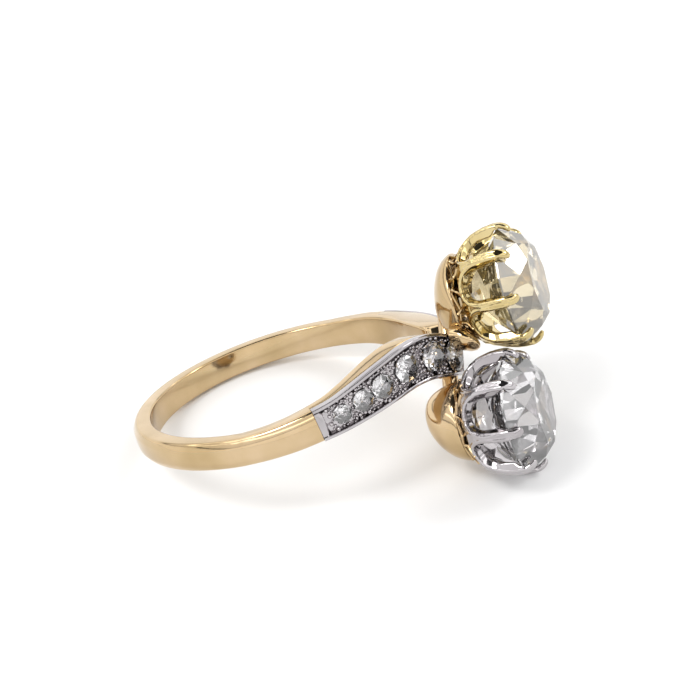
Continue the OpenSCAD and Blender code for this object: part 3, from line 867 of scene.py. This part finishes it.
def claw_cup_solid():
    """Claw cup before its windows are cut, with the stone's seat and bearing."""
    profile = [(FOOT_IN_R, -FOOT_DEPTH)] + CUP_OUTSIDE
    profile += [(CLAW_OUT, -0.05 * FOOT_DEPTH), (CLAW_OUT, 0.1), (SEAT_R, 0.1), (SEAT_R, -0.1),
                (BEARING_R, -0.1 - BEARING_DROP)]
    return turned(profile + CUP_INSIDE, CLAW_CUP_SIDES)


def window_outline(r):
    """Round-bottomed window (across, height), open at the top."""
    return [(-r, TIP_H)] + arc(0, -WINDOW_DEPTH, r, 180, 360, 24) + [(r, TIP_H)]


def window_cut(turn_by):
    """Room of one window: narrow as far as the inside of the cup's wall, and spreading through the wall."""
    rings = [[(FOOT_R / 2, y, z) for y, z in window_outline(WINDOW_IN_R)]]
    for r, through in ((WINDOW_IN_R, 0.1), (WINDOW_R - 0.03, 0.8), (WINDOW_R, 0.95)):
        ring = []
        for y, z in window_outline(r):
            low, high = claw_in_r(z), claw_out_r(z)
            ring.append((low + through * (high - low), y, z))
        rings.append(ring)
    rings.append([(CLAW_OUT + WINDOW_R, y, z) for y, z in window_outline(WINDOW_R)])
    points, faces = sweep(rings)
    return turn_about_axis(points, turn_by), faces


def claw_tip(turn_by):
    """One claw from beside the girdle to its round tip over the stone, as a flattened swept finger."""
    table = np.array([(CLAW_OUT - inwards, z, width, thick) for inwards, z, width, thick in CLAW_TIP])
    fine = np.array([spline_rows(table, (len(table) - 1) * k / TIP_STEPS) for k in range(TIP_STEPS + 1)])
    rings = []
    for k, (x, z, width, thick) in enumerate(fine):
        t = fine[min(TIP_STEPS, k + 1)][:2] - fine[max(0, k - 1)][:2]
        t = t / np.linalg.norm(t)
        ring = []
        for across, off in circle(1, TIP_SIDES):
            ring.append((x + t[1] * (thick * off), width * across, z - t[0] * (thick * off)))
        rings.append(ring)
    points, faces = sweep(rings)
    return turn_about_axis(points, turn_by), faces


def window_lip(turn_by):
    """Round lip along the edge of one window, on the outside of the claw cup."""
    r = WINDOW_R + LIP_OUT
    outline = [(-r, z) for z in LIP_HEIGHTS] + arc(0, -WINDOW_DEPTH, r, 180, 360, 30)
    outline += [(r, z) for z in reversed(LIP_HEIGHTS)]
    path = []
    for y, z in outline:
        radius = claw_out_r(z) - LIP_SUNK - max(z - 0.1, 0) * LIP_LEAN
        path.append((math.sqrt(radius * radius - y * y), y, z))
    return tube(turn_about_axis(path, turn_by), [LIP_R] * len(path), 10)


def build_setting(name, side, material):
    """Claw cup with its windows, their lips and the claws' tips in one skin."""
    step = 2 * math.pi / CLAWS
    claws = [CLAW_TURN + k * step for k in range(CLAWS)]
    windows = [CLAW_TURN + (k + 0.5) * step for k in range(CLAWS)]
    cup = cut_from(claw_cup_solid(), [window_cut(a) for a in windows])
    points, faces = skin_round([cup] + [claw_tip(a) for a in claws] + [window_lip(a) for a in windows])
    return make_object(name, at_stone(points, side), faces, material, 180)


def principled(name, roughness):
    """Material with its node tree and its main shader."""
    mat = bpy.data.materials.new(name)
    mat.use_nodes = True
    shader = mat.node_tree.nodes["Principled BSDF"]
    shader.inputs["Roughness"].default_value = roughness
    return mat, mat.node_tree, shader


def add_noise(tree, scale, detail):
    """Noise on the object's own coordinates; gives its value."""
    coords = tree.nodes.new("ShaderNodeTexCoord")
    noise = tree.nodes.new("ShaderNodeTexNoise")
    noise.inputs["Scale"].default_value = scale
    noise.inputs["Detail"].default_value = detail
    tree.links.new(coords.outputs["Object"], noise.inputs["Vector"])
    return noise.outputs["Fac"]


def add_ramp(tree, value, steps):
    """Colours by a value, from (place, colour) steps; gives the colour."""
    ramp = tree.nodes.new("ShaderNodeValToRGB")
    elements = ramp.color_ramp.elements
    elements[0].position, elements[1].position = steps[0][0], steps[-1][0]
    elements[0].color, elements[1].color = (*steps[0][1], 1), (*steps[-1][1], 1)
    for place, colour in steps[1:-1]:
        elements.new(place).color = (*colour, 1)
    tree.links.new(value, ramp.inputs["Fac"])
    return ramp.outputs["Color"]


def polished_metal(name, colour, dark, light, roughness, scale):
    """Polished metal: faint wear in its tone and gloss, and fine polishing marks."""
    mat, tree, shader = principled(name, roughness)
    shader.inputs["Metallic"].default_value = 1.0
    tone = add_ramp(tree, add_noise(tree, scale, 4.0), ((0.3, dark), (0.5, colour), (0.7, light)))
    tree.links.new(tone, shader.inputs["Base Color"])
    fine = add_noise(tree, scale * 5, 3.0)
    gloss = tree.nodes.new("ShaderNodeMapRange")
    gloss.inputs["To Min"].default_value = roughness * 0.6
    gloss.inputs["To Max"].default_value = roughness * 1.6
    tree.links.new(fine, gloss.inputs["Value"])
    tree.links.new(gloss.outputs["Result"], shader.inputs["Roughness"])
    bump = tree.nodes.new("ShaderNodeBump")
    bump.inputs["Strength"].default_value = SCRATCH_STRENGTH
    bump.inputs["Distance"].default_value = SCRATCH_M
    tree.links.new(fine, bump.inputs["Height"])
    tree.links.new(bump.outputs["Normal"], shader.inputs["Normal"])
    return mat


def cut_stone(name, tint, deep_tint, clearness):
    """Clear cut stone whose tint varies a little through it."""
    mat, tree, shader = principled(name, 0.0)
    shader.inputs["IOR"].default_value = DIAMOND_IOR
    shader.inputs["Transmission Weight"].default_value = clearness
    colour = add_ramp(tree, add_noise(tree, 180.0, 2.0), ((0, deep_tint), (1, tint)))
    tree.links.new(colour, shader.inputs["Base Color"])
    return mat


def dress(piece, node):
    """Hangs the piece on the root body and hides the CAD node it stands for."""
    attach(piece, "root")
    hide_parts(node)


def build_floor():
    """Plain pale floor just under the ring."""
    z = cad_box[0][2] - FLOOR_DROP_M
    corners = [(x * FLOOR_M, y * FLOOR_M, z) for x, y in ((-1, -1), (1, -1), (1, 1), (-1, 1))]
    mesh = new_mesh("floor", corners, [(0, 1, 2, 3)])
    mat, _, shader = principled("floor_white", 0.9)
    shader.inputs["Base Color"].default_value = (0.95, 0.95, 0.95, 1)
    mesh.materials.append(mat)
    add_object("floor", mesh)


def build_sky():
    """Studio light from all round, by the height of its direction."""
    world = bpy.data.worlds.new("studio")
    bpy.context.scene.world = world
    world.use_nodes = True
    tree = world.node_tree
    background = tree.nodes["Background"]
    background.inputs["Strength"].default_value = SKY_STRENGTH
    coords = tree.nodes.new("ShaderNodeTexCoord")
    parts = tree.nodes.new("ShaderNodeSeparateXYZ")
    tree.links.new(coords.outputs["Generated"], parts.inputs["Vector"])
    tone = add_ramp(tree, parts.outputs["Z"], [(place, (bright,) * 3) for place, bright in SKY])
    tree.links.new(tone, background.inputs["Color"])


def area_light(name, place, side, power):
    """Square soft light, in metres and watts, that looks at the middle of the finger hole."""
    data = bpy.data.lights.new(name, "AREA")
    data.size = side
    data.energy = power
    obj = add_object(name, data)
    obj.location = place
    obj.rotation_euler = (-Vector(place)).to_track_quat("-Z", "Y").to_euler()


def z_turn(angle):
    """Matrix of a turn about Z."""
    c, s = math.cos(angle), math.sin(angle)
    return np.array([[c, -s, 0], [s, c, 0], [0, 0, 1]])


def build_camera():
    """Camera that looks at the middle of the finger hole from the photograph's side, rolled a little."""
    right = np.array([1.0, 0, 0])
    back = np.array([0, -math.cos(ELEVATION), math.sin(ELEVATION)])
    fit = z_turn(ROLL) @ np.array([right, np.cross(back, right), back])
    rows = (fit @ z_turn(HOOP_TURN).T) @ RESTING.T
    data = bpy.data.cameras.new("camera")
    data.sensor_width = SENSOR_MM
    data.lens = LENS_MM
    data.shift_x, data.shift_y = SHIFT
    data.clip_start = 0.001
    data.clip_end = 5.0
    camera = add_object("camera", data)
    matrix = Matrix(rows.T.tolist()).to_4x4()
    matrix.translation = Vector(rows[2] * DISTANCE_M)
    camera.matrix_world = matrix
    bpy.context.scene.camera = camera


metals = {name: polished_metal(name, *values) for name, values in METALS.items()}
stones = {name: cut_stone(name, *values) for name, values in STONES.items()}
rose_gold = metals["rose_gold"]
platinum = metals["platinum"]

shank_pieces = [
    build_band(rose_gold),
    build_arm("near_arm_gold", False, rose_gold),
    build_arm("far_arm_gold", True, rose_gold),
    build_gallery("white_gallery_cup", -1, rose_gold),
    build_gallery("yellow_gallery_cup", 1, rose_gold),
    build_struts("white_gallery_struts", -1, rose_gold),
    build_struts("yellow_gallery_struts", 1, rose_gold),
    build_bridge(rose_gold),
    build_saddle(rose_gold),
]
for piece in shank_pieces:
    dress(piece, "shank")

for name, far in SHOULDERS:
    dress(build_plate(name + "_plate_platinum", far, platinum), name + "_shoulder_plate")

dress(build_setting("white_claw_cup", -1, platinum), "white_setting")
dress(build_setting("yellow_claw_cup", 1, metals["yellow_gold"]), "yellow_setting")

for name, far in SHOULDERS:
    for k in range(len(accent_places(far))):
        label = name + "_accent_" + str(k + 1)
        dress(small_stone(label + "_cut", k, far, stones["white_diamond"]), label)

for node_name, finish in (("white_stone", "white_diamond"), ("yellow_stone", "yellow_diamond")):
    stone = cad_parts[node_name].data
    stone.materials.clear()
    stone.materials.append(stones[finish])
    stone.shade_flat()

build_floor()
build_sky()
area_light("key", (-0.10, -0.10, 0.25), 0.08, 0.2)
area_light("fill", (0.2, 0.1, 0.2), 0.06, 0.1)
build_camera()
bpy.context.scene.view_settings.view_transform = "Standard"
